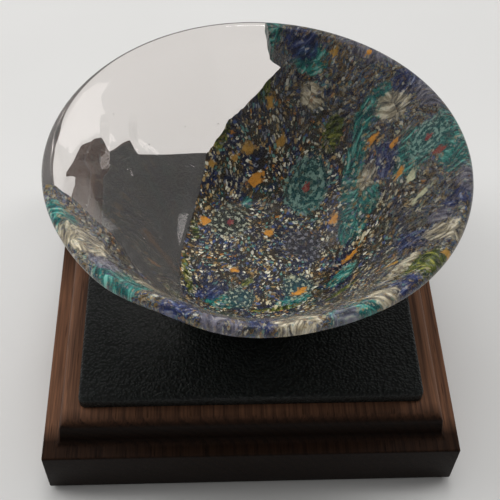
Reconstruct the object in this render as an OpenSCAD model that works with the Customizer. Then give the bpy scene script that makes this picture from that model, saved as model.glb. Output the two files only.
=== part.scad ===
// Art glass bowl: a mosaic glass wall made whole with clear glass, standing on a
// square moulded display plinth with a leatherette-covered panel on top.
// Z is up. The origin is the centre of the plinth's underside, on the baize.

/* [Bowl] */
// Diameter over the rim
bowl_d = 150; // [120:1:190]
// Height from the foot to the top of the rim
bowl_h = 59; // [46:1:74]
// Thickness of the side and the floor
bowl_wall = 4.4; // [3:0.1:5.5]
// Diameter of the flat foot
foot_d = 52; // [40:1:64]
// Thickness of the rounded rim
rim_t = 5.2; // [4:0.1:7]
// Height of the rim above the point where the side stops flaring
rim_h = 7; // [5:0.5:10]
// How far the side stays inside the rim's edge at that point
rim_overhang = 3.5; // [2:0.1:5]
// Steepness of the side as it leaves the foot, in degrees
foot_angle = 15; // [8:1:22]
// Steepness of the side as it meets the rim, in degrees
flare_angle = 46; // [40:1:52]
// Length over which the side curves up from the foot
foot_reach = 18; // [14:1:22]
// Length over which the side flares out to the rim
rim_reach = 23; // [18:1:26]
// How far the bowl stands to the right of the plinth's centre
bowl_shift = 2.7; // [0:0.1:6]

/* [Plinth block] */
// Width and depth of the wooden block
plinth_w = 152; // [140:1:190]
// Height of the wooden block
plinth_h = 34.5; // [30:0.5:42]
// Height of the block's upright side, below the moulding
side_h = 22.7; // [18:0.1:25]
// Width of the level step on top of the upright side
step_w = 3.8; // [2.5:0.1:5]
// Radius of the hollow (cove) behind the step
cove_r = 2.6; // [1.5:0.1:4]
// Radius of the rounded shoulder above the cove
shoulder_r = 3.6; // [2:0.1:4.5]
// How far the face between cove and shoulder leans in
face_lean = 0.6; // [0:0.1:1]
// Radius of the worn edges at the top and bottom of the side
arris_r = 0.9; // [0.4:0.1:1.5]

/* [Panel] */
// Width and depth of the covered panel
panel_w = 124; // [110:1:130]
// Height of the covered panel above the block
panel_h = 5.2; // [4.5:0.1:8]
// Radius of the panel's rounded top edges
panel_edge_r = 1.6; // [1:0.1:2]
// Radius of the panel's corners, seen from above
panel_corner_r = 2.4; // [2:0.1:5]
// Thickness of the leatherette
cover_t = 0.8; // [0.5:0.1:1]
// Width of the leatherette's hem, turned under the board
hem_w = 12; // [8:1:16]

/* [Screws and baize] */
// Diameter of the screws' shank
screw_d = 3.5; // [3:0.1:4]
// Length of the screws, head included
screw_l = 16; // [14:0.5:20]
// Diameter of the screws' countersunk head
head_d = 7; // [6:0.1:8]
// Depth of the slot in the screws' head
slot_depth = 0.9; // [0.5:0.1:1.2]
// Width of the slot in the screws' head
slot_w = 0.9; // [0.6:0.1:1.2]
// Distance from one screw to the next along a side
screw_pitch = 80; // [60:1:90]
// Wood left between a screw's tip and the top of the board
tip_cover = 0.8; // [0.5:0.1:1.2]
// Clearance round the screws' shank in the block, on the diameter
shank_clearance = 0.4; // [0.2:0.1:0.8]
// Clearance round the screws' head in its counterbore, on the diameter
head_clearance = 1.5; // [1:0.1:2.5]
// Thickness of the baize under the block
baize_t = 1; // [0.8:0.1:2]
// How far the baize stays inside the block's edge
baize_inset = 3; // [2:0.5:8]

/* [Hidden] */
$fn = 96;

curve_steps = 14;
arc_steps = 6;
overrun = 1;

block_z = baize_t;
panel_z = block_z + plinth_h;
bowl_z = panel_z + panel_h;
board_w = panel_w - 2 * cover_t;
board_z = panel_z + cover_t;
board_t = panel_h - 2 * cover_t;
screw_tip_z = board_z + board_t - tip_cover;
screw_head_z = screw_tip_z - screw_l;
head_h = (head_d - screw_d) / 2;
point_h = screw_d / 2;

// The broken edge between mosaic and clear glass, seen from above, in hundredths
// of the rim's radius from the bowl's axis. It runs from the back of the rim down
// to the floor and forward, then back along the rim's front-left band.
BROKEN_EDGE = [
    [8, 130], [8, 98], [11, 88], [21, 83], [8, 76], [-3, 69], [-11, 65], [-16, 59],
    [-23, 52], [-24, 46], [-29, 29], [-34, 11], [-36, 1], [-37, -14], [-34, -41],
    [-40, -48], [-47, -48], [-52, -41], [-62, -33], [-68, -21], [-76, -20],
    [-86, -16], [-97, -16], [-130, -16], [-130, 130]
];

function arc_points(centre, radius, from, to, steps) = [
    for (i = [0:steps])
        let (a = from + (to - from) * i / steps)
            centre + radius * [cos(a), sin(a)]
];

// A cubic curve through p[0] and p[3], drawn towards p[1] and p[2].
function curve_point(p, t) =
    pow(1 - t, 3) * p[0] + 3 * t * pow(1 - t, 2) * p[1]
    + 3 * t * t * (1 - t) * p[2] + t * t * t * p[3];
function curve_slope(p, t) =
    pow(1 - t, 2) * (p[1] - p[0]) + 2 * t * (1 - t) * (p[2] - p[1])
    + t * t * (p[3] - p[2]);
function left_of(v) = [-v.y, v.x] / norm(v);

// ---- Bowl ----

side_foot = [foot_d / 2, 0];
side_top = [bowl_d / 2 - rim_overhang, bowl_h - rim_h];
SIDE = [
    side_foot,
    side_foot + foot_reach * [cos(foot_angle), sin(foot_angle)],
    side_top - rim_reach * [cos(flare_angle), sin(flare_angle)],
    side_top
];
rim_centre = [(bowl_d - rim_t) / 2, bowl_h - rim_t / 2];

function outer_point(t) = curve_point(SIDE, t);
function inner_point(t) = outer_point(t) + bowl_wall * left_of(curve_slope(SIDE, t));

module bowl_section() {
    inner_floor = inner_point(0);
    polygon(concat(
        [[0, 0]],
        [for (i = [0:curve_steps]) outer_point(i / curve_steps)],
        arc_points(rim_centre, rim_t / 2, -40, 150, 2 * arc_steps),
        [for (i = [curve_steps:-1:0]) inner_point(i / curve_steps)],
        [[0, inner_floor.y]]
    ));
}

module place_bowl() {
    translate([bowl_shift, 0, bowl_z]) children();
}

module bowl_solid() {
    rotate_extrude() bowl_section();
}

module clear_region() {
    translate([0, 0, -overrun])
        linear_extrude(bowl_h + 2 * overrun)
            polygon(BROKEN_EDGE * bowl_d / 200);
}

module mosaic_glass_wall() {
    color("#1d3a3d")
        place_bowl()
            difference() {
                bowl_solid();
                clear_region();
            }
}

module clear_glass_infill() {
    color("#e9dfe0")
        place_bowl()
            intersection() {
                bowl_solid();
                clear_region();
            }
}

// ---- Plinth ----

// The block's moulded edge on one side, from the underside up to the top.
function moulding_points() =
    let (
        half = plinth_w / 2,
        cove_x = half - step_w,
        face_x = cove_x - cove_r,
        shoulder_x = face_x - face_lean
    ) concat(
        arc_points([half - arris_r, arris_r], arris_r, -90, 0, arc_steps),
        arc_points([half - arris_r, side_h - arris_r], arris_r, 0, 90, arc_steps),
        arc_points([cove_x, side_h + cove_r], cove_r, 270, 180, arc_steps),
        arc_points([shoulder_x - shoulder_r, plinth_h - shoulder_r], shoulder_r, 0, 90, arc_steps)
    );

// The panel's edge on one side: square below, rounded along the top.
function panel_points(w, h, edge_r) = concat(
    [[w / 2, 0]],
    arc_points([w / 2 - edge_r, h - edge_r], edge_r, 0, 90, arc_steps)
);

function mirrored_back(points) = [
    for (i = [len(points) - 1:-1:0]) [-points[i].x, points[i].y]
];

// A bar with the given edge on both sides, crossed with itself so that the same
// edge runs round all four sides and meets at mitred corners.
module crossed_bars(edge, length) {
    section = concat(edge, mirrored_back(edge));
    intersection_for (turn = [0, 90])
        rotate([0, 0, turn])
            rotate([90, 0, 0])
                linear_extrude(length + 2 * overrun, center = true) polygon(section);
}

module rounded_square(w, r) {
    square([w, w - 2 * r], center = true);
    square([w - 2 * r, w], center = true);
    for (x = [-1, 1], y = [-1, 1])
        translate([x * (w / 2 - r), y * (w / 2 - r)]) circle(r);
}

module panel_body(w, h, edge_r, corner_r) {
    intersection() {
        crossed_bars(panel_points(w, h, edge_r), w);
        translate([0, 0, -overrun])
            linear_extrude(h + 2 * overrun) rounded_square(w, corner_r);
    }
}

module at_screws() {
    for (x = [-1, 1], y = [-1, 1])
        translate([x * screw_pitch / 2, y * screw_pitch / 2, screw_head_z]) children();
}

// A countersunk screw, head down and point up, as a turned shape.
module screw_body() {
    shank_top = screw_l - point_h;
    rotate_extrude()
        polygon([
            [0, 0], [head_d / 2, 0], [screw_d / 2, head_h], [screw_d / 2, shank_top],
            [0, screw_l]
        ]);
}

// The counterbore, countersink and shank hole that a screw needs in the block.
module screw_way() {
    counterbore_depth = screw_head_z - block_z;
    translate([0, 0, -counterbore_depth - overrun])
        cylinder(d = head_d + head_clearance, h = counterbore_depth + overrun);
    cylinder(d1 = head_d, d2 = screw_d, h = head_h);
    cylinder(d = screw_d + shank_clearance, h = screw_l + overrun);
}

module plinth_block() {
    color("#3a2318")
        difference() {
            translate([0, 0, block_z]) crossed_bars(moulding_points(), plinth_w);
            at_screws() screw_way();
        }
}

module board_solid() {
    translate([0, 0, board_z])
        panel_body(board_w, board_t, panel_edge_r - cover_t, panel_corner_r - cover_t);
}

module panel_board() {
    color("#b08d5c")
        difference() {
            board_solid();
            at_screws() screw_body();
        }
}

module leatherette_cover() {
    window_w = panel_w - 2 * hem_w;
    color("#15181a")
        difference() {
            translate([0, 0, panel_z])
                panel_body(panel_w, panel_h, panel_edge_r, panel_corner_r);
            board_solid();
            translate([-window_w / 2, -window_w / 2, panel_z - overrun])
                cube([window_w, window_w, cover_t + overrun + board_t / 2]);
        }
}

module fixing_screws() {
    color("silver")
        at_screws()
            difference() {
                screw_body();
                translate([-head_d / 2, -slot_w / 2, -overrun])
                    cube([head_d, slot_w, slot_depth + overrun]);
            }
}

module baize_underlay() {
    width = plinth_w - 2 * baize_inset;
    color("#20402c")
        translate([-width / 2, -width / 2, 0]) cube([width, width, baize_t]);
}

plinth_block();
panel_board();
leatherette_cover();
fixing_screws();
baize_underlay();
mosaic_glass_wall();
clear_glass_infill();
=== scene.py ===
"""Art glass bowl on its display plinth: the looks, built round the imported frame."""

import math
import random

import bmesh
import bpy
import numpy as np
from bpy.props import FloatProperty, FloatVectorProperty, IntProperty, PointerProperty
from mathutils import Matrix, Vector


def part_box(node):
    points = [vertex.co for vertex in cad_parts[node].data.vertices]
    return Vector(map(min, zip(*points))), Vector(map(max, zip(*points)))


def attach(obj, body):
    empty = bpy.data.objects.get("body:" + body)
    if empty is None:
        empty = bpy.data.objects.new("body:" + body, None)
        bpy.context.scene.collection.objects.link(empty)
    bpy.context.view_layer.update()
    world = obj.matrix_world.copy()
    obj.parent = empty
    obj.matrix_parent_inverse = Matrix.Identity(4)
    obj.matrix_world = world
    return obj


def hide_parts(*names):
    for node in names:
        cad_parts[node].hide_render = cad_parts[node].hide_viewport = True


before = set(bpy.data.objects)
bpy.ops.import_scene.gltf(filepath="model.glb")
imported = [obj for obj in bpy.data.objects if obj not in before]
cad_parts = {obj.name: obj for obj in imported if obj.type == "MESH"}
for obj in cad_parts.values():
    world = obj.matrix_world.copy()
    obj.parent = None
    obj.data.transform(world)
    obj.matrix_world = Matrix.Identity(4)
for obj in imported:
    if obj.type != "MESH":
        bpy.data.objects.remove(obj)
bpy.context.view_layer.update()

bl_info = {
    "name": "Art Glass Bowl",
    "version": (1, 0, 0),
    "blender": (4, 5, 0),
    "location": "3D View > Sidebar > Glass Bowl",
    "description": "Builds a mosaic and clear glass bowl on a moulded display plinth",
    "category": "Add Mesh",
}

MM = 0.001

BLOCK_LOW, BLOCK_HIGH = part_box("plinth_block")
COVER_LOW, COVER_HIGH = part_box("leatherette_cover")
MOSAIC_LOW, MOSAIC_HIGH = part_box("mosaic_glass_wall")
CLEAR_LOW, CLEAR_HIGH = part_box("clear_glass_infill")
BOWL_LEFT = min(MOSAIC_LOW.x, CLEAR_LOW.x)
BOWL_RADIUS = (MOSAIC_HIGH.x - BOWL_LEFT) / 2
BOWL_AXIS = Vector(((MOSAIC_HIGH.x + BOWL_LEFT) / 2, 0.0, MOSAIC_LOW.z))
BOWL_HEIGHT = MOSAIC_HIGH.z - MOSAIC_LOW.z

# The broken edge between mosaic and clear glass, seen from above, in hundredths of
# the rim's radius from the bowl's axis. It is the same line as in the frame.
BROKEN_EDGE = (
    (8, 130), (8, 98), (11, 88), (21, 83), (8, 76), (-3, 69), (-11, 65), (-16, 59),
    (-23, 52), (-24, 46), (-29, 29), (-34, 11), (-36, 1), (-37, -14), (-34, -41),
    (-40, -48), (-47, -48), (-52, -41), (-62, -33), (-68, -21), (-76, -20),
    (-86, -16), (-97, -16), (-130, -16), (-130, 130),
)

# Hollows and swellings of the rim: bearing in degrees, push outwards, push upwards
# and reach, in mm. Bearing 0 is to the right and 270 to the front.
RIM_DENTS = (
    (218, -1.8, -0.6, 24),
    (243, -2.8, 0.4, 13),
    (258, -1.2, -0.6, 14),
    (285, -2.6, -0.5, 26),
    (20, 0.5, 0.3, 30),
)

# How the cast glass sagged into three swags on its outer side: place across the bowl in
# mm from its axis, and the slope there from front to back.
SAG_SLOPES = (
    (-69, 0.05), (-59, -0.15), (-56, 0.10), (-49, -0.15), (-46, 0.15), (-15, 0.20),
)
SAG_START, SAG_END = SAG_SLOPES[0][0], SAG_SLOPES[-1][0]
# Half axes in mm of the ellipse round the bowl's axis that the swags hang from.
SAG_ACROSS, SAG_BACK = 70, 42
# Steps along it, the distance in mm over which the sag fades out, and the length that a
# graph's whole height stands for.
SAG_STEPS, SAG_FADE, SAG_SPAN = 12, 12.0, 50.0

# Flowers of cane: place of the centre in mm from the bowl's axis, radius, and kind.
FLOWERS = (
    (-9, 16, 8.6, 0), (22, 28, 9.5, 1), (20, 4, 8.5, 2), (16, -17, 6.5, 3),
    (63, 16, 6.5, 1), (-6, -22, 6, 3),
)

# Chips of plain glass: place, half length, half width in mm, turn in degrees, tone.
CHIPS = (
    (2, 34, 3.6, 1.9, 20, 0), (-19, 17, 2.2, 2.0, 0, 0), (6, 10, 1.9, 1.5, 30, 0),
    (32, 12, 2.3, 1.2, 70, 0), (36, -9, 2.7, 1.1, 25, 0), (17, -19, 3.2, 1.4, 30, 0),
    (-1, 42, 2.0, 1.8, 60, 1), (12, 43, 2.0, 1.6, 10, 1), (46, 29, 2.0, 1.2, 0, 0),
    (53, 23, 1.4, 1.0, 0, 0), (54, 11, 1.7, 1.1, 60, 0), (-7, 40, 1.5, 1.2, 0, 1),
    (8, 53, 1.9, 1.3, 50, 1), (33, 60, 1.8, 1.0, 0, 1), (45, 55, 1.4, 0.9, 0, 0),
    (60, -44, 2.4, 1.2, -50, 1), (4, 60, 2.1, 1.5, 40, 2), (-8, -8, 1.5, 1.1, 0, 0),
    (57, 6, 2.4, 1.3, 70, 3), (59, -5, 3.4, 0.9, 20, 3), (14, -12, 1.2, 0.8, 0, 3),
    (46, -34, 1.6, 0.9, -40, 1), (66, 8, 2.0, 1.4, 0, 4), (-16, 37, 1.2, 0.9, 0, 1),
)

# Fields of one kind of cane: place, half length, half width in mm, turn in degrees.
FIELDS = {
    "teal": (
        (39, 22, 5, 18, -12), (38, 4, 6, 8, 0), (46, 38, 9, 6, 30), (58, 14, 7, 11, 0),
        (44, 10, 5, 7, 0), (70, 8, 7, 17, 5), (24, 22, 7, 4, 20), (14, -24, 8, 4, 15), (32, -18, 4, 8, -50),
        (-69, -26, 8, 9, 60), (-46, -52, 9, 12, 45), (-14, -24, 8, 5, 0), (24, 60, 8, 5, -20),
        (8, 71, 6, 7, 0), (-2, 26, 3, 3, 0), (30, -68, 12, 7, 15),
    ),
    "olive": (
        (32, 39, 5, 6, 0), (5, 56, 4, 3, 50), (-12, 45, 6, 3, 55), (0, 60, 4, 3, 50),
        (8, -28, 13, 2, 5), (30, -30, 8, 2.2, 25), (54, -47, 11, 9, -45), (-3, -14, 4, 2, 30),
        (-26, -12, 1.8, 14, 8), (-23, 12, 1.6, 6, 10),
    ),
    "navy": (
        (49, 20, 6, 8, 10), (53, -26, 5, 9, 30), (68, -18, 7, 5, 20), (20, 65, 9, 5, -25),
        (-18, -20, 7, 4, 30), (-28, -66, 8, 6, 20), (44, -56, 9, 5, 40),
        (58, 40, 6, 7, 40), (0, -70, 7, 6, 0),
    ),
    "pale": (
        (24, 51, 6, 4, -30), (53, 35, 5, 8, 50), (62, -32, 6, 9, 40), (46, -42, 12, 3.5, 45),
        (44, 19, 4, 5, 0), (-60, -34, 9, 11, 50), (-36, -46, 8, 12, 60),
        (10, -71, 9, 7, 5), (-70, -38, 4, 8, 0), (38, -60, 6, 6, 30),
    ),
    "lilac": (
        (42, 60, 22, 5, -42), (65, 32, 5, 9, 30), (72, -12, 4, 9, 8),
        (-14, -71, 9, 5, -10), (62, -22, 4, 6, 30), (26, -70, 6, 6, 20), (-52, -44, 5, 6, 50),
    ),
}

# Steps of the bowl's section along the side, round the lip and across foot and floor.
SIDE_STEPS, LIP_STEPS, FOOT_STEPS, FLOOR_STEPS = 60, 16, 6, 24
# The broken edge: length of one chip and how far it strays, in mm, the lean of the break
# over the bowl's height, and the gap between the two glasses.
CHIP_RUN = 1.2 * MM
CHIP_STRAY = 0.22
BREAK_LEAN = 1.5 * MM
BREAK_GAP = 0.04 * MM
# Shares of the bowl's height where the rim's hollows begin and over which they grow.
DENT_START, DENT_SPAN = 0.45, 0.5
# Bubbles: bearings between which they lie, in degrees, radii in mm, and how far they
# stay from the break, as a share of the rim's radius.
BUBBLE_BEARINGS = (95, 205)
BUBBLE_RADII = (0.12, 0.16, 0.2, 0.28, 0.36)
BUBBLE_CLEARANCE = 0.04

# The leatherette's rounded corners, top edge and lower edge, and the block's mitres.
COVER_CORNER = 2.4 * MM
COVER_TOP_EDGE = 1.5 * MM
COVER_LOW_EDGE = 0.5 * MM
MITRE_BEVEL = 0.5 * MM

# The camera: focal length and sensor in mm, place in mm, and angles in degrees.
LENS, SENSOR = 68.6, 36
CAMERA_PLACE = (-12.3, -230.4, 339.9)
CAMERA_TURN, CAMERA_DIP, CAMERA_ROLL = 3.33, 51.76, 1.83

# Lamps: name, width and depth, place in metres, and watts. Only the glint is mirrored.
LAMP_TARGET = (0, 0, 0.05)
LAMPS = (
    ("left_light", (1.0, 0.8), (-1.3, 0.5, 0.9), 11.5),
    ("right_light", (1.0, 0.8), (1.4, 0.6, 0.9), 8.4),
    ("top_light", (0.8, 0.8), (0.0, 0.4, 1.45), 7.6),
    ("front_light", (1.0, 0.8), (0.1, -1.3, 1.0), 1.0),
    ("glint", (0.16, 0.16), (0.05, 0.2, 1.3), 1.0),
)
MIRRORED_LAMP = "glint"
TABLE_WIDTH = 60


def linear(code):
    """The linear colour of an sRGB hex code, with alpha."""
    channels = [int(code[i:i + 2], 16) / 255 for i in (1, 3, 5)]
    curve = [c / 12.92 if c <= 0.04045 else ((c + 0.055) / 1.055) ** 2.4 for c in channels]
    return (*curve, 1.0)


# ---- Settings -------------------------------------------------------------------


def length_setting(name, description, size):
    """A length that a user may change, from a size in millimetres."""
    return FloatProperty(name=name, description=description, default=size * MM,
                         subtype="DISTANCE", unit="LENGTH")


def colour_setting(name, description, code):
    """A colour that a user may change, from an sRGB hex code."""
    return FloatVectorProperty(name=name, description=description,
                               default=linear(code)[:3], subtype="COLOR", min=0, max=1)


class BowlSettings(bpy.types.PropertyGroup):
    """Sizes and colours of the glass bowl."""

    wall: length_setting("Wall", "Thickness of the side", 4.4)
    foot_radius: length_setting("Foot radius", "Radius of the flat foot", 26)
    rim_thickness: length_setting("Rim thickness", "Thickness of the rounded rim", 5.2)
    rim_height: length_setting("Rim height", "Height of the rim above the flare", 7)
    rim_overhang: length_setting("Rim overhang", "How far the side stays inside the rim", 3.5)
    foot_reach: length_setting("Foot reach", "Length over which the side leaves the foot", 18)
    rim_reach: length_setting("Rim reach", "Length over which the side flares to the rim", 23)
    foot_angle: FloatProperty(
        name="Foot angle", description="Steepness of the side at the foot",
        default=math.radians(15), subtype="ANGLE", unit="ROTATION")
    flare_angle: FloatProperty(
        name="Flare angle", description="Steepness of the side at the rim",
        default=math.radians(46), subtype="ANGLE", unit="ROTATION")
    turns: IntProperty(
        name="Steps round", description="Steps of the bowl round its axis", default=400)
    bubbles: IntProperty(
        name="Bubbles", description="Air bubbles in the clear glass", default=70)
    clear_tint: colour_setting("Clear tint", "Colour that thick clear glass takes on", "#F4E9E4")


class PlinthSettings(bpy.types.PropertyGroup):
    """Sizes and colours of the plinth."""

    side_height: length_setting("Side height", "Height of the block's upright side", 22.7)
    step: length_setting("Step", "Width of the level step above the side", 3.8)
    cove: length_setting("Cove", "Radius of the hollow behind the step", 2.6)
    shoulder: length_setting("Shoulder", "Radius of the rounded shoulder above the cove", 3.6)
    lean: length_setting("Lean", "How far the face above the cove leans in", 0.6)
    arris: length_setting("Arris", "Radius of the worn edges of the side", 0.9)
    leatherette: length_setting("Leatherette", "Thickness of the leatherette", 0.8)
    hem: length_setting("Hem", "Width of the hem turned under the board", 12)
    wood_light: colour_setting("Light wood", "Colour between the grain lines", "#7C5741")
    wood_dark: colour_setting("Dark wood", "Colour of the grain lines", "#48342A")


# ---- Small tools ----------------------------------------------------------------


def clear_selection():
    """Leaves edit mode and deselects every object, the frame's own among them."""
    if bpy.context.object and bpy.context.object.mode != "OBJECT":
        bpy.ops.object.mode_set(mode="OBJECT")
    bpy.ops.object.select_all(action="DESELECT")


def pick(piece):
    """Makes one object the only selected and the active one."""
    clear_selection()
    piece.select_set(True)
    bpy.context.view_layer.objects.active = piece


def select_where(piece, kind, test):
    """In edit mode, selects the vertices, edges or faces that pass a test."""
    bpy.ops.mesh.select_mode(type=kind)
    bpy.ops.mesh.select_all(action="DESELECT")
    mesh = bmesh.from_edit_mesh(piece.data)
    parts = {"VERT": mesh.verts, "EDGE": mesh.edges, "FACE": mesh.faces}[kind]
    for part in parts:
        if test(part):
            part.select_set(True)
    mesh.select_flush_mode()
    bmesh.update_edit_mesh(piece.data)


def apply_modifier(piece, kind, **settings):
    """Adds a modifier with its settings and applies it."""
    pick(piece)
    modifier = piece.modifiers.new(kind.title(), kind)
    for name, value in settings.items():
        setattr(modifier, name, value)
    bpy.ops.object.modifier_apply(modifier=modifier.name)


def smooth(piece, angle):
    """Shades a piece smooth wherever its faces meet at less than the angle."""
    pick(piece)
    bpy.ops.object.shade_smooth_by_angle(angle=math.radians(angle))


def hand_over(piece, body, slot, *nodes):
    """Puts a finished piece on its body, in place of the frame's nodes."""
    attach(piece, body)
    if nodes:
        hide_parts(*nodes)


def arc(centre, radius, start, end, steps):
    """Points along an arc in a plane, angles in degrees."""
    turns = [math.radians(start + (end - start) * i / steps) for i in range(steps + 1)]
    return [Vector((centre[0] + radius * math.cos(a), centre[1] + radius * math.sin(a)))
            for a in turns]


def put(tree, kind, sockets=None, out=0, **settings):
    """Adds a node with its settings, values and links, and returns one output."""
    node = tree.nodes.new("ShaderNode" + kind)
    for name, value in settings.items():
        setattr(node, name, value)
    for name, value in (sockets or {}).items():
        if isinstance(value, bpy.types.NodeSocket):
            tree.links.new(value, node.inputs[name])
        else:
            node.inputs[name].default_value = value
    return node if out is None else node.outputs[out]


def ramp(tree, factor, stops, mode="LINEAR"):
    """Colours that follow a factor, from (position, hex code) pairs."""
    node = put(tree, "ValToRGB", {"Fac": factor}, out=None)
    band = node.color_ramp
    band.interpolation = mode
    while len(band.elements) < len(stops):
        band.elements.new(0.5)
    for element, (position, code) in zip(band.elements, stops):
        element.position = position
        element.color = linear(code)
    return node.outputs["Color"]


def graph(tree, factor, points):
    """A value that follows a factor along straight lines, both between 0 and 1."""
    node = put(tree, "FloatCurve", {"Value": factor}, out=None)
    line = node.mapping.curves[0].points
    while len(line) < len(points):
        line.new(0.5, 0.5)
    for point, place in zip(line, points):
        point.location = place
        point.handle_type = "VECTOR"
    node.mapping.update()
    return node.outputs["Value"]


def new_material(name):
    """An empty material with its shader: the material, its tree and the shader."""
    material = bpy.data.materials.new(name)
    material.use_nodes = True
    tree = material.node_tree
    return material, tree, tree.nodes["Principled BSDF"]


def set_sockets(tree, node, values):
    """Sets or links several sockets of a node."""
    for name, value in values.items():
        if isinstance(value, bpy.types.NodeSocket):
            tree.links.new(value, node.inputs[name])
        else:
            node.inputs[name].default_value = value


def millimetres(tree, scale=(1, 1, 1), shift=(0, 0, 0)):
    """Object coordinates in millimetres, scaled and shifted."""
    place = put(tree, "TexCoord", out="Object")
    return put(tree, "Mapping", {
        "Vector": place, "Scale": [1000 * s for s in scale], "Location": shift,
    })


def bump(tree, height, distance, strength, normal=None):
    """A normal for a height in the pattern, distance in metres."""
    sockets = {"Height": height, "Distance": distance, "Strength": strength}
    if normal is not None:
        sockets["Normal"] = normal
    return put(tree, "Bump", sockets)


# ---- Glass ----------------------------------------------------------------------


def cane_slices(tree, plan):
    """The plan bent by swirls, each slice's chances, its turned place and a fine fray."""
    # Slow swirls of 12 mm bend every pattern a little.
    swirl = put(tree, "TexNoise", {"Vector": plan, "Scale": 1 / 12, "Detail": 2.0}, out="Color")
    swirl = put(tree, "VectorMath", {0: swirl, 1: (0.5, 0.5, 0.5)}, operation="SUBTRACT")
    swirl = put(tree, "VectorMath", {0: swirl, "Scale": 5.0}, operation="SCALE")
    bent = put(tree, "VectorMath", {0: plan, 1: swirl}, operation="ADD")

    # Slices of cane about 8 mm wide, each turned its own way.
    slices = put(tree, "TexVoronoi", {"Vector": bent, "Scale": 1 / 8}, out=None)
    chance = put(tree, "SeparateColor", {"Color": slices.outputs["Color"]}, out=None)
    turn = put(tree, "Math", {0: chance.outputs[0], 1: math.tau}, operation="MULTIPLY")
    turned = put(tree, "VectorRotate", {"Vector": bent, "Angle": turn}, rotation_type="Z_AXIS")
    fray = put(tree, "TexNoise", {"Vector": plan, "Scale": 1 / 0.9, "Detail": 2.0}, out="Color")
    fray = put(tree, "VectorMath", {0: fray, 1: (0.5, 0.5, 0.5)}, operation="SUBTRACT")
    return bent, chance, turned, fray


def speckled_ground(tree, bent, chance, turned, fray):
    """The near-black ground, and where its specks are and their colours."""
    drawn = put(tree, "VectorMath", {0: turned, 1: (1.0, 0.62, 1.0)}, operation="MULTIPLY")
    drawn = put(tree, "VectorMath", {0: fray, 1: (1.5, 1.5, 1.5), 2: drawn},
                operation="MULTIPLY_ADD")

    # Ground of near-black glass that wanders between navy, brown and green.
    drift = put(tree, "TexNoise", {"Vector": bent, "Scale": 1 / 7, "Detail": 3.0}, out="Fac")
    ground = ramp(tree, drift, (
        (0.30, "#0B0E18"), (0.42, "#1A2038"), (0.50, "#221E1A"), (0.58, "#33281A"),
        (0.66, "#122824"), (0.75, "#1C2648")))

    # Specks about 1 mm across, drawn out along each slice.
    specks = put(tree, "TexVoronoi",
                 {"Vector": drawn, "Scale": 1 / 1.05, "Randomness": 1.0}, out=None)
    dice = put(tree, "SeparateColor", {"Color": specks.outputs["Color"]}, out=None)
    speck_tone = ramp(tree, dice.outputs[0], (
        (0.0, "#C4BA9A"), (0.18, "#DEDAC6"), (0.30, "#A88C5C"), (0.46, "#7E828C"),
        (0.58, "#5E8C84"), (0.68, "#7A6038"), (0.82, "#3E5080"), (0.94, "#A87030")), "CONSTANT")
    speck_size = put(tree, "MapRange", {"Value": dice.outputs[1], "To Min": 0.20, "To Max": 0.62})
    speck_gap = put(tree, "Math", {0: speck_size, 1: specks.outputs["Distance"]},
                    operation="SUBTRACT")
    speck_mask = put(tree, "MapRange", {"Value": speck_gap, "From Min": -0.08, "From Max": 0.12})
    busy = put(tree, "MapRange", {
        "Value": chance.outputs[1], "From Min": 0.1, "From Max": 0.5,
        "To Min": 0.45, "To Max": 1.0})
    speck_mask = put(tree, "Math", {0: speck_mask, 1: busy}, operation="MULTIPLY")
    return ground, speck_mask, speck_tone


def stretched_smears(tree, turned, fray, from_axis):
    """Long smears, 0.6 mm wide, towards the rim, where the slices were stretched."""
    pulled = put(tree, "VectorMath", {0: turned, 1: (1.0, 0.3, 1.0)}, operation="MULTIPLY")
    pulled = put(tree, "VectorMath", {0: fray, 1: (1.1, 1.1, 1.1), 2: pulled},
                 operation="MULTIPLY_ADD")
    smears = put(tree, "TexVoronoi", {"Vector": pulled, "Scale": 1 / 0.6},
                 out=None, feature="SMOOTH_F1")
    smear_dice = put(tree, "SeparateColor", {"Color": smears.outputs["Color"]}, out=None)
    smear_tone = ramp(tree, smear_dice.outputs[0], (
        (0.12, "#141A34"), (0.28, "#3E3420"), (0.38, "#8C7446"), (0.46, "#1C2C50"),
        (0.55, "#4A5A78"), (0.64, "#0E4A48"), (0.74, "#A89A76"), (0.86, "#223A66")))
    rimward = put(tree, "MapRange", {
        "Value": from_axis, "From Min": 44.0, "From Max": 72.0, "To Max": 0.6})
    return rimward, smear_tone


def cane_fields(tree, ragged, streaks, speck_mask):
    """Fields of one kind of cane, with ragged edges, and streaks drawn inside each."""
    tones = {
        "teal": ((0.32, "#06282C"), (0.46, "#0B4A49"), (0.56, "#1C7268"), (0.66, "#6AA89C")),
        "olive": ((0.32, "#101A0C"), (0.46, "#2C3510"), (0.57, "#5C6420"), (0.68, "#9C9645")),
        "navy": ((0.32, "#0A0E20"), (0.46, "#182042"), (0.58, "#2A3560"), (0.70, "#7C839A")),
        "pale": ((0.30, "#1E1F24"), (0.42, "#5C564C"), (0.52, "#968C74"), (0.62, "#CCC2AA")),
        "lilac": ((0.30, "#20202A"), (0.44, "#44434F"), (0.56, "#6A6774"), (0.70, "#96938F")),
    }
    layers = []
    for name, stops in tones.items():
        inside = put(tree, "Attribute", out="Fac", attribute_name="field_" + name)
        edge = put(tree, "Math", {0: inside, 1: ragged}, operation="ADD")
        mask = put(tree, "MapRange", {
            "Value": edge, "From Min": 0.60, "From Max": 0.78, "To Max": 0.92})
        gap = put(tree, "Math", {0: speck_mask, 1: 0.6}, operation="MULTIPLY")
        mask = put(tree, "Math", {0: mask, 1: gap}, operation="SUBTRACT", use_clamp=True)
        layers.append((mask, ramp(tree, streaks, stops)))
    return layers


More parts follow.
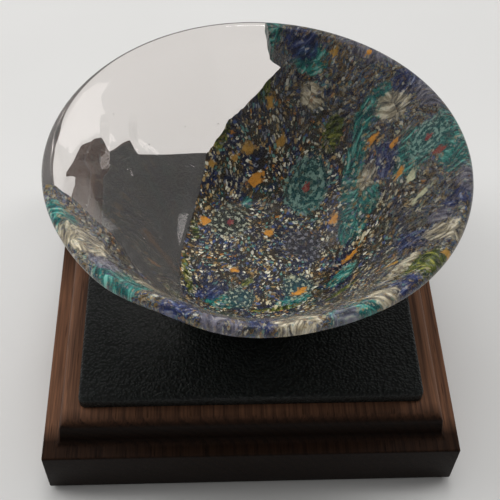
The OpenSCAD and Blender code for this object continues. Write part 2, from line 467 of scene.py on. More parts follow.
def cane_flowers(tree, fray, ragged):
    """Flowers: a plain heart with rings of dots round it, six more dots in each ring."""
    flower = put(tree, "Attribute", out="Vector", attribute_name="flower")
    wobble = put(tree, "VectorMath", {0: fray, 1: (0.4, 0.4, 0.0)}, operation="MULTIPLY")
    flower = put(tree, "VectorMath", {0: flower, 1: wobble}, operation="ADD")
    axes = put(tree, "SeparateXYZ", {0: flower}, out=None)
    flat_flower = put(tree, "VectorMath", {0: flower, 1: (1, 1, 0)}, operation="MULTIPLY")
    reach = put(tree, "VectorMath", {0: flat_flower}, out="Value", operation="LENGTH")
    rings = put(tree, "Math", {0: reach, 1: 3.7}, operation="MULTIPLY")
    ring = put(tree, "Math", {0: rings}, operation="FLOOR")
    bearing = put(tree, "Math", {0: axes.outputs[1], 1: axes.outputs[0]}, operation="ARCTAN2")
    dots = put(tree, "Math", {0: ring, 1: 6 / math.tau}, operation="MULTIPLY")
    beat = put(tree, "Math", {0: bearing, 1: dots, 2: ring}, operation="MULTIPLY_ADD")
    beat = put(tree, "Math", {0: beat}, operation="FRACT")
    across = put(tree, "Math", {0: beat, 1: 0.5}, operation="SUBTRACT")
    # The second kind of flower has long strokes in place of dots.
    stroke = ramp(tree, axes.outputs[2], (
        (0.0, "#FFFFFF"), (0.25, "#B4B4B4"), (0.5, "#FFFFFF")), "CONSTANT")
    across = put(tree, "Math", {0: across, 1: stroke}, operation="MULTIPLY")
    along = put(tree, "Math", {0: rings}, operation="FRACT")
    along = put(tree, "Math", {0: along, 1: 0.5}, operation="SUBTRACT")
    dot = put(tree, "CombineXYZ", {0: across, 1: along})
    dot = put(tree, "VectorMath", {0: dot}, out="Value", operation="LENGTH")
    dot = put(tree, "Math", {0: ragged, 1: 1.5, 2: dot}, operation="MULTIPLY_ADD")
    dot_mask = put(tree, "MapRange",
                   {"Value": dot, "From Min": 1.06, "From Max": 0.90, "To Max": 0.85})
    petal = ramp(tree, axes.outputs[2], (
        (0.0, "#0E1A14"), (0.25, "#0F4444"), (0.5, "#24232C"), (0.75, "#0A343A")), "CONSTANT")
    pip = ramp(tree, axes.outputs[2], (
        (0.0, "#B4B8A2"), (0.25, "#7FA093"), (0.5, "#85848C"), (0.75, "#A4AE98")), "CONSTANT")
    heart = ramp(tree, axes.outputs[2], (
        (0.0, "#7A2A30"), (0.25, "#7C3230"), (0.5, "#40383A"), (0.75, "#245054")), "CONSTANT")
    bloom = put(tree, "Mix", {0: dot_mask, 6: petal, 7: pip}, out=2, data_type="RGBA")
    heart_mask = put(tree, "Math", {0: rings, 1: 0.62}, operation="LESS_THAN")
    bloom = put(tree, "Mix", {0: heart_mask, 6: bloom, 7: heart}, out=2, data_type="RGBA")
    bloom_edge = put(tree, "Math", {0: reach, 1: ragged}, operation="ADD")
    bloom_mask = put(tree, "MapRange",
                     {"Value": bloom_edge, "From Min": 1.50, "From Max": 1.30, "To Max": 0.85})
    return bloom_mask, bloom


def plain_chips(tree, ragged, streaks):
    """Chips of plain orange, yellow, green, cream and red glass."""
    depth = put(tree, "Attribute", out="Fac", attribute_name="chip_depth")
    tone = put(tree, "Attribute", out="Fac", attribute_name="chip_tone")
    chipped = put(tree, "Math", {0: ragged, 1: 0.5}, operation="SUBTRACT")
    depth = put(tree, "Math", {0: chipped, 1: 4.5, 2: depth}, operation="MULTIPLY_ADD")
    chip_mask = put(tree, "MapRange", {"Value": depth, "From Min": -0.3, "From Max": 0.4})
    chip = ramp(tree, tone, (
        (0.0, "#C4852E"), (0.2, "#A8803C"), (0.4, "#1E4A22"), (0.6, "#B9B998"),
        (0.8, "#7C3A30")), "CONSTANT")
    mottle = put(tree, "MapRange",
                 {"Value": streaks, "From Min": 0.35, "From Max": 0.65, "To Min": 0.75,
                  "To Max": 1.15})
    chip = put(tree, "VectorMath", {0: chip, "Scale": mottle}, operation="SCALE")
    return chip_mask, chip


def fused_mosaic_glass():
    """Slices of patterned cane fused into a sheet, slumped into a mould and polished.

    The slices stand through the wall, so the pattern hardly changes with height, and it
    stretches where the side is steep. The polish is satin, with a few bright glints.
    """
    material, tree, shader = new_material("fused_mosaic_glass")
    plan = millimetres(tree, (1, 1, 0.35), (-BOWL_AXIS.x / MM, 0, 0))
    from_axis = put(tree, "VectorMath", {0: plan}, out="Value", operation="LENGTH")
    bent, chance, turned, fray = cane_slices(tree, plan)
    ragged = put(tree, "TexNoise", {"Vector": plan, "Scale": 1 / 1.6, "Detail": 4.0}, out="Fac")
    long = put(tree, "VectorMath", {0: turned, 1: (1.0, 0.22, 0.0)}, operation="MULTIPLY")
    streaks = put(tree, "TexNoise", {"Vector": long, "Scale": 1 / 1.3, "Detail": 3.0}, out="Fac")
    colour, speck_mask, speck_tone = speckled_ground(tree, bent, chance, turned, fray)
    layers = [
        (speck_mask, speck_tone),
        stretched_smears(tree, turned, fray, from_axis),
        *cane_fields(tree, ragged, streaks, speck_mask),
        cane_flowers(tree, fray, ragged),
        plain_chips(tree, ragged, streaks),
    ]
    for mask, tone in layers:
        colour = put(tree, "Mix", {0: mask, 6: colour, 7: tone}, out=2, data_type="RGBA")

    # Painted light and shade: the pattern is made paler to the front left and darker to the back right.
    side = put(tree, "VectorMath", {0: plan, 1: (0.8, 0.6, 0.0)}, out="Value",
               operation="DOT_PRODUCT")
    painted_light_and_shade = put(tree, "MapRange", {
        "Value": side, "From Min": -10.0, "From Max": 45.0, "To Min": 1.32, "To Max": 0.68})
    colour = put(tree, "VectorMath", {0: colour, "Scale": painted_light_and_shade}, operation="SCALE")

    # Polished by hand: gently uneven over 6 mm, with fine pits of half a millimetre.
    unevenness = put(tree, "TexNoise",
                     {"Vector": millimetres(tree), "Scale": 1 / 6, "Detail": 2.0}, out="Fac")
    pits = put(tree, "TexNoise",
               {"Vector": millimetres(tree), "Scale": 1 / 0.5, "Detail": 2.0}, out="Fac")
    skin = bump(tree, unevenness, 0.4 * MM, 0.5)
    skin = bump(tree, pits, 0.05 * MM, 0.5, skin)
    gloss = put(tree, "MapRange", {
        "Value": pits, "From Min": 0.35, "From Max": 0.7, "To Min": 0.22, "To Max": 0.42})
    set_sockets(tree, shader, {
        "Base Color": colour, "Roughness": gloss, "IOR": 1.5, "Normal": skin,
    })
    return material


def sagged_height(tree):
    """How far the clear glass's outer side sags, in mm, as seen from above."""
    plan = millimetres(tree, (1, 1, 1), (-BOWL_AXIS.x / MM, 0, 0))
    axes = put(tree, "SeparateXYZ", {0: plan}, out=None)
    span = SAG_END - SAG_START
    share = put(tree, "MapRange", {
        "Value": axes.outputs[0], "From Min": SAG_START, "From Max": SAG_END})
    across = [SAG_START + span * i / SAG_STEPS for i in range(SAG_STEPS + 1)]
    hang = [SAG_BACK * math.sqrt(1 - (x / SAG_ACROSS) ** 2) for x in across]
    line = graph(tree, share, [(i / SAG_STEPS, y / SAG_SPAN) for i, y in enumerate(hang)])
    slope = graph(tree, share, [((x - SAG_START) / span, g + 0.5) for x, g in SAG_SLOPES])
    line = put(tree, "Math", {0: line, 1: SAG_SPAN}, operation="MULTIPLY")
    slope = put(tree, "Math", {0: slope, 1: 0.5}, operation="SUBTRACT")
    behind = put(tree, "Math", {0: line, 1: axes.outputs[1]}, operation="SUBTRACT")
    apart = put(tree, "Math", {0: behind}, operation="ABSOLUTE")
    near = put(tree, "MapRange", {
        "Value": apart, "From Min": 0.0, "From Max": SAG_FADE, "To Min": 1.0, "To Max": 0.0},
               interpolation_type="SMOOTHSTEP")
    outside = put(tree, "Attribute", out="Fac", attribute_name="outside")
    near = put(tree, "Math", {0: near, 1: outside}, operation="MULTIPLY")
    height = put(tree, "Math", {0: behind, 1: slope}, operation="MULTIPLY")
    return put(tree, "Math", {0: height, 1: near}, operation="MULTIPLY")


def clear_cast_glass(settings):
    """Colourless glass cast to fill the gap: smooth, faintly warm where it is thick."""
    material, tree, shader = new_material("clear_cast_glass")
    waves = put(tree, "TexNoise",
                {"Vector": millimetres(tree), "Scale": 1 / 14, "Detail": 1.0}, out="Fac")
    skin = bump(tree, waves, 0.3 * MM, 0.25)
    set_sockets(tree, shader, {
        "Base Color": linear("#FDFAF8"), "Roughness": 0.0, "IOR": 1.5,
        "Transmission Weight": 0.945, "Normal": bump(tree, sagged_height(tree), MM, 1.0, skin),
    })
    absorb = put(tree, "VolumeAbsorption", {"Color": (*settings.clear_tint, 1), "Density": 30.0})
    tree.links.new(absorb, tree.nodes["Material Output"].inputs["Volume"])
    return material


def air_bubble():
    """Air trapped in glass: a ball whose index is that of air within glass."""
    material, tree, shader = new_material("air_bubble")
    set_sockets(tree, shader, {
        "Base Color": (1, 1, 1, 1), "Roughness": 0.02, "IOR": 1.33,
        "Transmission Weight": 1.0,
    })
    return material


# ---- Plinth materials -----------------------------------------------------------


def waxed_walnut(settings):
    """Dark stained walnut, routed from one block with its grain running back to front.

    Growth rings show as long lines on the sides and as slanting arcs on the ends.
    """
    material, tree, shader = new_material("waxed_walnut")
    # The tree's heart lay 90 mm to one side and 60 mm below the block.
    along = millimetres(tree, (1, 0.035, 1), (90, 0, 60))
    wander = put(tree, "TexNoise", {"Vector": along, "Scale": 1 / 25, "Detail": 3.0}, out="Color")
    wander = put(tree, "VectorMath", {0: wander, "Scale": 9.0}, operation="SCALE")
    place = put(tree, "VectorMath", {0: along, 1: wander}, operation="ADD")
    place = put(tree, "VectorMath", {0: place, 1: (1, 0, 1)}, operation="MULTIPLY")
    radius = put(tree, "VectorMath", {0: place}, out="Value", operation="LENGTH")
    ring = put(tree, "Math", {0: radius, 1: 1 / 3.2}, operation="MULTIPLY")
    ring = put(tree, "Math", {0: ring}, operation="FRACT")
    late = put(tree, "MapRange",
               {"Value": ring, "From Min": 0.35, "From Max": 1.0}, interpolation_type="SMOOTHSTEP")
    fibre_place = millimetres(tree, (1, 0.03, 1))
    fibre = put(tree, "TexNoise",
                {"Vector": fibre_place, "Scale": 1 / 0.7, "Detail": 4.0}, out="Fac")
    pore_place = millimetres(tree, (1, 0.06, 1))
    pores = put(tree, "TexVoronoi", {"Vector": pore_place, "Scale": 1 / 1.1}, out="Distance")
    pore = put(tree, "MapRange", {"Value": pores, "From Min": 0.10, "From Max": 0.22})
    grain = put(tree, "Math", {0: late, 1: 0.18, 2: fibre}, operation="MULTIPLY_ADD")
    depth = put(tree, "MapRange", {"Value": grain, "From Min": 0.3, "From Max": 0.8})
    tone = put(tree, "Mix", {
        0: depth, 6: (*settings.wood_light, 1), 7: (*settings.wood_dark, 1),
    }, out=2, data_type="RGBA")
    dark_pore = put(tree, "MapRange", {"Value": pore, "To Min": 0.45, "To Max": 1.0})
    tone = put(tree, "VectorMath", {0: tone, "Scale": dark_pore}, operation="SCALE")
    # End grain drinks more stain, so faces across the grain are darker.
    facing = put(tree, "NewGeometry", out="Normal")
    facing = put(tree, "SeparateXYZ", {0: facing}, out=1)
    facing = put(tree, "Math", {0: facing}, operation="ABSOLUTE")
    thirst = put(tree, "MapRange",
                 {"Value": facing, "From Min": 0.4, "From Max": 0.95, "To Min": 1.0, "To Max": 0.4})
    tone = put(tree, "VectorMath", {0: tone, "Scale": thirst}, operation="SCALE")
    # Painted shade: the face and moulding towards the front are made darker.
    front = put(tree, "SeparateXYZ", {0: millimetres(tree)}, out=1)
    painted_front_shade = put(tree, "MapRange", {
        "Value": front, "From Min": -69.0, "From Max": -62.0, "To Min": 0.15, "To Max": 1.0})
    tone = put(tree, "VectorMath", {0: tone, "Scale": painted_front_shade}, operation="SCALE")
    # Painted shade: the block is made darker towards the back.
    painted_back_shade = put(tree, "MapRange", {
        "Value": front, "From Min": -5.0, "From Max": 20.0, "To Min": 1.0, "To Max": 0.3})
    tone = put(tree, "VectorMath", {0: tone, "Scale": painted_back_shade}, operation="SCALE")
    relief = bump(tree, pore, 0.15 * MM, 0.35)
    relief = bump(tree, fibre, 0.08 * MM, 0.3, relief)
    gloss = put(tree, "MapRange", {"Value": fibre, "To Min": 0.38, "To Max": 0.55})
    set_sockets(tree, shader, {
        "Base Color": tone, "Roughness": gloss, "IOR": 1.45, "Normal": relief,
        "Specular IOR Level": 0.08,
    })
    return material


def black_leatherette():
    """Vinyl-faced cloth embossed with a pebble grain: black, with a soft sheen."""
    material, tree, shader = new_material("black_leatherette")
    place = millimetres(tree)
    shake = put(tree, "TexNoise", {"Vector": place, "Scale": 1 / 2.5}, out="Color")
    place = put(tree, "VectorMath", {0: place, 1: shake}, operation="ADD")
    # Pebbles 0.9 mm apart.
    pebbles = put(tree, "TexVoronoi", {"Vector": place, "Scale": 1 / 0.9},
                  out=None, feature="SMOOTH_F1")
    crown = put(tree, "MapRange", {
        "Value": pebbles.outputs["Distance"], "From Min": 0.1, "From Max": 0.7,
        "To Min": 1.0, "To Max": 0.0}, interpolation_type="SMOOTHSTEP")
    # Painted light and shade: the pebbles' crowns are coloured lighter and the hollows between them darker.
    tone = ramp(tree, crown, ((0.0, "#050706"), (0.6, "#0D110F"), (1.0, "#151A18")))
    gloss = put(tree, "MapRange", {"Value": crown, "To Min": 0.62, "To Max": 0.40})
    set_sockets(tree, shader, {
        "Base Color": tone, "Roughness": gloss, "IOR": 1.5, "Specular IOR Level": 0.35,
        "Normal": bump(tree, crown, 0.35 * MM, 0.9),
    })
    return material


def sanded_plywood():
    """Thin birch ply: pale, with fine short fibres and a hint of growth figure."""
    material, tree, shader = new_material("sanded_plywood")
    fibre = put(tree, "TexNoise",
                {"Vector": millimetres(tree, (1, 0.05, 3)), "Scale": 1 / 1.5, "Detail": 4.0},
                out="Fac")
    tone = ramp(tree, fibre, ((0.3, "#A8834F"), (0.5, "#C3A06C"), (0.7, "#D6B98A")))
    set_sockets(tree, shader, {
        "Base Color": tone, "Roughness": 0.65, "Normal": bump(tree, fibre, 0.05 * MM, 0.4)})
    return material


def zinc_plated_steel():
    """Turned steel with a thin zinc plate: grey, softly brushed round the axis."""
    material, tree, shader = new_material("zinc_plated_steel")
    cloud = put(tree, "TexNoise",
                {"Vector": millimetres(tree), "Scale": 1 / 1.2, "Detail": 3.0}, out="Fac")
    tone = ramp(tree, cloud, ((0.3, "#A9ABAE"), (0.7, "#C6C8CB")))
    gloss = put(tree, "MapRange", {"Value": cloud, "To Min": 0.25, "To Max": 0.45})
    set_sockets(tree, shader, {
        "Base Color": tone, "Metallic": 1.0, "Roughness": gloss,
        "Normal": bump(tree, cloud, 0.02 * MM, 0.3)})
    return material


def green_baize():
    """Felted wool cloth: a short dense nap that scatters light at its edges."""
    material, tree, shader = new_material("green_baize")
    nap = put(tree, "TexNoise",
              {"Vector": millimetres(tree), "Scale": 1 / 0.4, "Detail": 4.0}, out="Fac")
    tone = ramp(tree, nap, ((0.3, "#12301F"), (0.5, "#1E4A30"), (0.7, "#2C5E40")))
    set_sockets(tree, shader, {
        "Base Color": tone, "Roughness": 0.95, "Sheen Weight": 0.4,
        "Normal": bump(tree, nap, 0.2 * MM, 0.7)})
    return material


# ---- Bowl -----------------------------------------------------------------------


def side_curve(settings):
    """The four control points of the bowl's outer side, radius and height in metres."""
    foot = Vector((settings.foot_radius, 0))
    top = Vector((BOWL_RADIUS - settings.rim_overhang, BOWL_HEIGHT - settings.rim_height))
    leave = Vector((math.cos(settings.foot_angle), math.sin(settings.foot_angle)))
    arrive = Vector((math.cos(settings.flare_angle), math.sin(settings.flare_angle)))
    return foot, foot + settings.foot_reach * leave, top - settings.rim_reach * arrive, top


def on_curve(points, t):
    """A point on the side's curve and the direction square to it, inwards."""
    a, b, c, d = points
    s = 1 - t
    place = a * s ** 3 + b * 3 * t * s * s + c * 3 * t * t * s + d * t ** 3
    slope = (b - a) * s * s + (c - b) * 2 * t * s + (d - c) * t * t
    return place, Vector((-slope.y, slope.x)).normalized()


def bowl_section(settings):
    """The bowl's section from the middle of the foot, out, over the rim and back in."""
    points = side_curve(settings)
    outer, inner = [], []
    for i in range(SIDE_STEPS + 1):
        place, inward = on_curve(points, i / SIDE_STEPS)
        outer.append(place)
        inner.append(place + inward * settings.wall)
    half = settings.rim_thickness / 2
    lip = arc((BOWL_RADIUS - half, BOWL_HEIGHT - half), half, -40, 150, LIP_STEPS)
    foot = [Vector((settings.foot_radius * i / FOOT_STEPS, 0)) for i in range(FOOT_STEPS)]
    floor = [Vector((inner[0].x * i / FLOOR_STEPS, inner[0].y))
             for i in range(FLOOR_STEPS - 1, -1, -1)]
    return foot + outer + lip + inner[::-1] + floor


def read_points(piece, name):
    """One vector of every vertex of a mesh, as rows."""
    flat = np.empty(len(piece.data.vertices) * 3)
    piece.data.vertices.foreach_get(name, flat)
    return flat.reshape(-1, 3)


def write_points(piece, points):
    """Puts the vertices of a mesh at new places."""
    piece.data.vertices.foreach_set("co", points.reshape(-1))
    piece.data.update()


def turn_blank(settings):
    """The whole bowl as one turned shape, before it is cut into its two glasses."""
    section = bowl_section(settings)
    clear_selection()
    bpy.ops.mesh.primitive_plane_add(size=settings.wall, location=BOWL_AXIS)
    blank = bpy.context.object
    bpy.ops.object.mode_set(mode="EDIT")
    bpy.ops.mesh.merge(type="CENTER")
    for here, there in zip(section, section[1:]):
        step = there - here
        bpy.ops.mesh.extrude_region_move(TRANSFORM_OT_translate={"value": (step.x, 0, step.y)})
    bpy.ops.mesh.select_all(action="SELECT")
    bpy.ops.mesh.spin(steps=settings.turns, angle=math.tau, center=BOWL_AXIS, axis=(0, 0, 1))
    bpy.ops.mesh.select_all(action="SELECT")
    bpy.ops.mesh.remove_doubles(threshold=0.005 * MM)
    bpy.ops.mesh.normals_make_consistent(inside=False)
    bpy.ops.object.mode_set(mode="OBJECT")
    bpy.ops.object.transform_apply(location=True, rotation=True, scale=True)
    return blank


def settle(piece):
    """Lets the rim sag and swell by the listed amounts, evenly through the wall."""
    points = read_points(piece, "co")
    x, y = points[:, 0] - BOWL_AXIS.x, points[:, 1]
    up = np.clip((points[:, 2] - BOWL_AXIS.z) / BOWL_HEIGHT, 0, 1)
    bearing = np.degrees(np.arctan2(y, x)) % 360
    radius = np.maximum(np.hypot(x, y), 1e-6)
    high = np.clip((up - DENT_START) / DENT_SPAN, 0, 1)
    high = high * high * (3 - 2 * high)
    out, lift = np.zeros(len(points)), np.zeros(len(points))
    for place, push, rise, reach in RIM_DENTS:
        apart = (bearing - place + 180) % 360 - 180
        near = np.exp(-(apart / reach) ** 2)
        out += near * push * high * MM
        lift += near * rise * high * MM
    points[:, 0] += out * x / radius
    points[:, 1] += out * y / radius
    points[:, 2] += lift
    write_points(piece, points)


def broken_line(inset):
    """The broken edge as finer points in metres, with a chipped, uneven run."""
    rng = random.Random(11)
    scale = BOWL_RADIUS / 100
    points = [Vector((x * scale, y * scale)) for x, y in BROKEN_EDGE]
    middle = sum(points, Vector((0, 0))) / len(points)
    fine = []
    for here, there in zip(points, points[1:] + points[:1]):
        run = there - here
        steps = max(1, int(run.length / CHIP_RUN))
        side = Vector((-run.y, run.x)).normalized()
        for i in range(steps):
            jog = rng.uniform(-CHIP_STRAY, CHIP_STRAY) * MM if i else 0.0
            fine.append(here + run * (i / steps) + side * jog)
    return [p + (p - middle).normalized() * inset for p in fine]


def break_cutter(inset, undercut):
    """A tall block whose side follows the broken edge, leaning by the undercut."""
    line = broken_line(inset)
    clear_selection()
    bpy.ops.mesh.primitive_circle_add(vertices=len(line), radius=BOWL_RADIUS,
                                      fill_type="NGON", location=(0, 0, 0))
    cutter = bpy.context.object
    low = BOWL_AXIS.z - 2 * MM
    high = BOWL_AXIS.z + BOWL_HEIGHT + 4 * MM
    for vertex, place in zip(cutter.data.vertices, line):
        vertex.co = (BOWL_AXIS.x + place.x - undercut, place.y, low)
    bpy.ops.object.mode_set(mode="EDIT")
    bpy.ops.mesh.select_all(action="SELECT")
    bpy.ops.mesh.extrude_region_move(TRANSFORM_OT_translate={"value": (undercut, 0, high - low)})
    bpy.ops.mesh.select_all(action="SELECT")
    bpy.ops.mesh.normals_make_consistent(inside=False)
    bpy.ops.object.mode_set(mode="OBJECT")
    return cutter


def cut_from_blank(blank, name, cutter, operation):
    """A copy of the blank with the cutter taken away, or only what is inside it."""
    piece = blank.copy()
    piece.data = blank.data.copy()
    piece.name = name
    bpy.context.scene.collection.objects.link(piece)
    apply_modifier(piece, "BOOLEAN", object=cutter, operation=operation, solver="EXACT")
    bpy.data.objects.remove(cutter)
    return piece


def store_attribute(piece, name, kind, values):
    """Keeps one value for each vertex under a name that the material reads."""
    field = "vector" if kind == "FLOAT_VECTOR" else "value"
    attribute = piece.data.attributes.new(name, kind, "POINT")
    attribute.data.foreach_set(field, np.ascontiguousarray(values, np.float32).reshape(-1))


def ellipse_reach(x, y, patch):
    """How far points are from an ellipse's middle, 1 being its edge."""
    cx, cy, long, wide, turn = patch[:5]
    a = math.radians(turn)
    along = (x - cx) * math.cos(a) + (y - cy) * math.sin(a)
    across = (y - cy) * math.cos(a) - (x - cx) * math.sin(a)
    return np.hypot(along / long, across / wide)


def lay_out_canes(piece):
    """Marks where fields, flowers and chips lie, as seen from above, in millimetres."""
    points = read_points(piece, "co")
    x, y = (points[:, 0] - BOWL_AXIS.x) / MM, points[:, 1] / MM
    for name, patches in FIELDS.items():
        inside = np.zeros(len(x))
        for patch in patches:
            inside = np.maximum(inside, 1 - ellipse_reach(x, y, patch))
        store_attribute(piece, "field_" + name, "FLOAT", inside)
    nearest = np.full(len(x), 9.0)
    flower = np.full((len(x), 3), 9.0)
    for cx, cy, radius, kind in FLOWERS:
        apart = np.hypot(x - cx, y - cy) / radius
        closer = apart < nearest
        nearest = np.where(closer, apart, nearest)
        flower[closer] = np.stack([(x - cx) / radius, (y - cy) / radius,
                                   np.full(len(x), kind * 0.25 + 0.1)], 1)[closer]
    store_attribute(piece, "flower", "FLOAT_VECTOR", flower)
    depth = np.full(len(x), -9.0)
    tone = np.zeros(len(x))
    for patch in CHIPS:
        inside = (1 - ellipse_reach(x, y, patch)) * patch[3]
        deeper = inside > depth
        depth = np.where(deeper, inside, depth)
        tone = np.where(deeper, patch[5] * 0.2 + 0.1, tone)
    store_attribute(piece, "chip_depth", "FLOAT", depth)
    store_attribute(piece, "chip_tone", "FLOAT", tone)


class BOWL_OT_glass(bpy.types.Operator):
    """Turn the bowl, break it along its edge and lay out the mosaic"""

    bl_idname = "glass_bowl.glass"
    bl_label = "Glass"

    def execute(self, context):
        settings = context.scene.glass_bowl
        blank = turn_blank(settings)
        mosaic = cut_from_blank(
            blank, "mosaic_wall", break_cutter(0.0, BREAK_LEAN), "DIFFERENCE")
        clear = cut_from_blank(
            blank, "clear_infill", break_cutter(BREAK_GAP, BREAK_LEAN), "INTERSECT")
        bpy.data.objects.remove(blank)
        lay_out_canes(mosaic)
        store_attribute(clear, "outside", "FLOAT", read_points(clear, "normal")[:, 2] < 0)
        for piece in (mosaic, clear):
            settle(piece)
            smooth(piece, 40)
        mosaic.data.materials.append(fused_mosaic_glass())
        clear.data.materials.append(clear_cast_glass(settings))
        hand_over(mosaic, "bowl", "mosaic_glass", "mosaic_glass_wall")
        hand_over(clear, "bowl", "clear_glass", "clear_glass_infill")
        return {"FINISHED"}


class BOWL_OT_bubbles(bpy.types.Operator):
    """Scatter small air bubbles through the clear glass"""

    bl_idname = "glass_bowl.bubbles"
    bl_label = "Bubbles"

    def execute(self, context):
        settings = context.scene.glass_bowl
        points = side_curve(settings)
        rng = random.Random(5)
        clear_selection()
        balls = []
        for _ in range(settings.bubbles):
            bearing = math.radians(rng.uniform(*BUBBLE_BEARINGS))
            t = rng.uniform(0.12, 0.95)
            place, inward = on_curve(points, t)
            place = place + inward * settings.wall * rng.uniform(0.3, 0.7)
            if not self.inside(place.x, bearing):
                continue
            centre = BOWL_AXIS + Vector((
                place.x * math.cos(bearing), place.x * math.sin(bearing), place.y))
            size = rng.choice(BUBBLE_RADII) * MM
            bpy.ops.mesh.primitive_ico_sphere_add(subdivisions=2, radius=size, location=centre)
            balls.append(bpy.context.object)
        for ball in balls:
            ball.select_set(True)
        bpy.ops.object.join()
        piece = bpy.context.object
        piece.name = "air_bubbles"
        bpy.ops.object.transform_apply(location=True, rotation=True, scale=True)
        bpy.ops.object.shade_smooth()
        piece.data.materials.append(air_bubble())
        hand_over(piece, "bowl", "clear_glass")
        return {"FINISHED"}

    def inside(self, radius, bearing):
        """True where the broken edge leaves clear glass, well inside it."""
        x, y = radius * math.cos(bearing) / BOWL_RADIUS, radius * math.sin(bearing) / BOWL_RADIUS
        points = [(px / 100, py / 100) for px, py in BROKEN_EDGE]
        crossings = 0
        for (ax, ay), (bx, by) in zip(points, points[1:] + points[:1]):
            if (ay > y) != (by > y) and x < (bx - ax) * (y - ay) / (by - ay) + ax:
                crossings += 1
            near = min(max(((x - ax) * (bx - ax) + (y - ay) * (by - ay))
                           / ((bx - ax) ** 2 + (by - ay) ** 2), 0), 1)
            if math.hypot(x - ax - near * (bx - ax), y - ay - near * (by - ay)) < BUBBLE_CLEARANCE:
                return False
        return crossings % 2 == 1


# ---- Plinth ---------------------------------------------------------------------


def moulding_steps(settings):
    """The block's edge from the underside up: distance from the middle, and height."""
    half = (BLOCK_HIGH.x - BLOCK_LOW.x) / 2
    height = BLOCK_HIGH.z - BLOCK_LOW.z
    arris = settings.arris
    cove_at = half - settings.step
    shoulder_at = cove_at - settings.cove - settings.lean
    return (
        arc((half - arris, arris), arris, -90, 0, 4)
        + arc((half - arris, settings.side_height - arris), arris, 0, 90, 4)
        + arc((cove_at, settings.side_height + settings.cove), settings.cove, 270, 180, 6)
        + arc((shoulder_at - settings.shoulder, height - settings.shoulder),
              settings.shoulder, 0, 90, 8)
    )


def mitre_corner(edge, half):
    """True for an edge that runs up one of the four mitred corners."""
    low, high = (v.co for v in edge.verts)
    on_corner = all(abs(abs(p.x) - abs(p.y)) < 1e-6 and abs(p.x) > half for p in (low, high))
    return on_corner and abs(low.z - high.z) + abs(low.x - high.x) > 1e-7 and low.x * high.x > 0


class BOWL_OT_block(bpy.types.Operator):
    """Shape the moulded wooden block"""

    bl_idname = "glass_bowl.block"
    bl_label = "Plinth Block"

    def execute(self, context):
        settings = context.scene.glass_plinth
        steps = moulding_steps(settings)
        clear_selection()
        bpy.ops.mesh.primitive_plane_add(
            size=2 * steps[0].x, location=(0, 0, BLOCK_LOW.z + steps[0].y))
        block = bpy.context.object
        block.name = "moulded_block"
        bpy.ops.object.transform_apply(location=True, rotation=True, scale=True)
        bpy.ops.object.mode_set(mode="EDIT")
        bpy.ops.mesh.select_all(action="SELECT")
        for here, there in zip(steps, steps[1:]):
            bpy.ops.mesh.extrude_region_move(
                TRANSFORM_OT_translate={"value": (0, 0, there.y - here.y)})
            share = there.x / here.x
            bpy.ops.transform.resize(value=(share, share, 1), center_override=(0, 0, 0))
        bpy.ops.mesh.select_all(action="SELECT")
        bpy.ops.mesh.normals_make_consistent(inside=False)
        half = steps[-1].x * 0.9
        select_where(block, "EDGE", lambda edge: mitre_corner(edge, half))
        bpy.ops.mesh.bevel(offset=MITRE_BEVEL, segments=3, affect="EDGES")
        bpy.ops.object.mode_set(mode="OBJECT")
        smooth(block, 50)
        block.data.materials.append(waxed_walnut(settings))
        hand_over(block, "plinth", "dark_wood", "plinth_block")
        return {"FINISHED"}


class BOWL_OT_cover(bpy.types.Operator):
    """Wrap the leatherette over the raised panel"""

    bl_idname = "glass_bowl.cover"
    bl_label = "Leatherette"

    def execute(self, context):
        settings = context.scene.glass_plinth
        size = COVER_HIGH - COVER_LOW
        middle = (COVER_HIGH + COVER_LOW) / 2
        clear_selection()
        bpy.ops.mesh.primitive_cube_add(size=1, location=middle, scale=size)
        cover = bpy.context.object
        cover.name = "leatherette_wrap"
        bpy.ops.object.transform_apply(location=True, rotation=True, scale=True)
        bpy.ops.object.mode_set(mode="EDIT")
        select_where(cover, "EDGE", lambda e: abs(e.verts[0].co.z - e.verts[1].co.z) > MM)
        bpy.ops.mesh.bevel(offset=COVER_CORNER, segments=5, affect="EDGES")
        select_where(cover, "EDGE", lambda e: all(
            v.co.z > COVER_HIGH.z - 1e-6 for v in e.verts) and len(e.link_faces) == 2
                     and any(abs(f.normal.z) < 0.5 for f in e.link_faces))
        bpy.ops.mesh.bevel(offset=COVER_TOP_EDGE, segments=5, affect="EDGES")
        select_where(cover, "EDGE", lambda e: all(
            v.co.z < COVER_LOW.z + 1e-6 for v in e.verts))
        bpy.ops.mesh.bevel(offset=COVER_LOW_EDGE, segments=3, affect="EDGES")
        select_where(cover, "FACE", lambda f: f.normal.z < -0.9)
        bpy.ops.mesh.inset(thickness=settings.hem, depth=0)
        bpy.ops.mesh.delete(type="FACE")
        bpy.ops.object.mode_set(mode="OBJECT")
        apply_modifier(cover, "SOLIDIFY", thickness=settings.leatherette, offset=-1.0,
                       use_even_offset=True)
        smooth(cover, 50)
        cover.data.materials.append(black_leatherette())
        hand_over(cover, "plinth", "leatherette", "leatherette_cover")
        return {"FINISHED"}


class BOWL_OT_hidden(bpy.types.Operator):
    """Give the board, the screws and the baize their own materials"""

    bl_idname = "glass_bowl.hidden"
    bl_label = "Board, Screws and Baize"

    def execute(self, context):
        finishes = {
            "panel_board": sanded_plywood(),
            "fixing_screws": zinc_plated_steel(),
            "baize_underlay": green_baize(),
        }
        for name, material in finishes.items():
            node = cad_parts[name]
            for slot in node.material_slots:
                slot.material = material
        return {"FINISHED"}


# ---- Stage ----------------------------------------------------------------------


def pale_table():
    """A matt white table top."""
    material, tree, shader = new_material("pale_table")
    tone = put(tree, "TexNoise",
               {"Vector": millimetres(tree), "Scale": 1 / 120, "Detail": 2.0}, out="Fac")
    set_sockets(tree, shader, {
        "Base Color": ramp(tree, tone, ((0.3, "#D9D8D6"), (0.7, "#DDDCDA"))),
        "Roughness": 0.7})
    return material


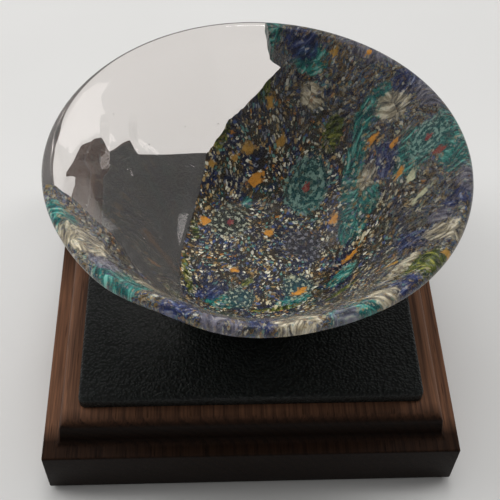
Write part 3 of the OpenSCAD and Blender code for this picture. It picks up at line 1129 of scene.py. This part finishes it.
def soft_light(name, size, place, target, power):
    """One large square lamp aimed at a point."""
    lamp = bpy.data.lights.new(name, "AREA")
    lamp.shape = "RECTANGLE"
    lamp.size, lamp.size_y = size
    lamp.energy = power
    holder = bpy.data.objects.new(name, lamp)
    bpy.context.scene.collection.objects.link(holder)
    holder.location = place
    holder.rotation_euler = (Vector(target) - Vector(place)).to_track_quat("-Z", "Y").to_euler()
    return holder


class BOWL_OT_stage(bpy.types.Operator):
    """Set the table, the lights and the camera"""

    bl_idname = "glass_bowl.stage"
    bl_label = "Stage"

    def execute(self, context):
        clear_selection()
        bpy.ops.mesh.primitive_plane_add(size=TABLE_WIDTH, location=(0, 0, 0))
        table = bpy.context.object
        table.name = "table"
        table.data.materials.append(pale_table())

        world = bpy.data.worlds.new("studio")
        context.scene.world = world
        world.use_nodes = True
        tree = world.node_tree
        sky = tree.nodes["Background"]
        sky.inputs["Color"].default_value = linear("#F4F4F4")
        # The room is bright behind the table and dark in front of it.
        heading = put(tree, "TexCoord", out="Generated")
        behind = put(tree, "VectorMath", {0: heading, 1: (-0.2, 0.9, 0.2)},
                     out="Value", operation="DOT_PRODUCT")
        behind = put(tree, "MapRange", {
            "Value": behind, "From Min": -0.2, "From Max": 0.9, "To Min": 0.2, "To Max": 0.62})
        tree.links.new(behind, sky.inputs["Strength"])
        context.scene.view_settings.view_transform = "Standard"

        for name, size, place, power in LAMPS:
            lamp = soft_light(name, size, place, LAMP_TARGET, power)
            lamp.visible_glossy = name == MIRRORED_LAMP

        camera = bpy.data.cameras.new("camera")
        camera.lens = LENS
        camera.sensor_width = SENSOR
        holder = bpy.data.objects.new("camera", camera)
        context.scene.collection.objects.link(holder)
        turn = Matrix.Rotation(-math.radians(CAMERA_TURN), 4, "Z")
        tilt = Matrix.Rotation(math.radians(90 - CAMERA_DIP), 4, "X")
        roll = Matrix.Rotation(math.radians(CAMERA_ROLL), 4, "Z")
        place = Matrix.Translation([length * MM for length in CAMERA_PLACE])
        holder.matrix_world = place @ turn @ tilt @ roll
        context.scene.camera = holder
        return {"FINISHED"}


class BOWL_PT_panel(bpy.types.Panel):
    """The bowl's sizes and steps in the sidebar"""

    bl_idname = "BOWL_PT_panel"
    bl_label = "Glass Bowl"
    bl_space_type = "VIEW_3D"
    bl_region_type = "UI"
    bl_category = "Glass Bowl"

    def draw(self, context):
        layout = self.layout
        for group in (context.scene.glass_bowl, context.scene.glass_plinth):
            for name in group.bl_rna.properties.keys():
                if name not in ("rna_type", "name"):
                    layout.prop(group, name)
        for operator in OPERATORS:
            layout.operator(operator.bl_idname)


OPERATORS = (
    BOWL_OT_glass,
    BOWL_OT_bubbles,
    BOWL_OT_block,
    BOWL_OT_cover,
    BOWL_OT_hidden,
    BOWL_OT_stage,
)
CLASSES = (BowlSettings, PlinthSettings, *OPERATORS, BOWL_PT_panel)


def register():
    """Registers the classes and the two groups of settings."""
    for cls in CLASSES:
        bpy.utils.register_class(cls)
    bpy.types.Scene.glass_bowl = PointerProperty(type=BowlSettings)
    bpy.types.Scene.glass_plinth = PointerProperty(type=PlinthSettings)


def unregister():
    """Takes them away again."""
    del bpy.types.Scene.glass_plinth
    del bpy.types.Scene.glass_bowl
    for cls in reversed(CLASSES):
        bpy.utils.unregister_class(cls)


def main():
    """Builds every piece and the stage."""
    register()
    bpy.ops.glass_bowl.glass()
    bpy.ops.glass_bowl.bubbles()
    bpy.ops.glass_bowl.block()
    bpy.ops.glass_bowl.cover()
    bpy.ops.glass_bowl.hidden()
    bpy.ops.glass_bowl.stage()


if __name__ == "__main__":
    main()
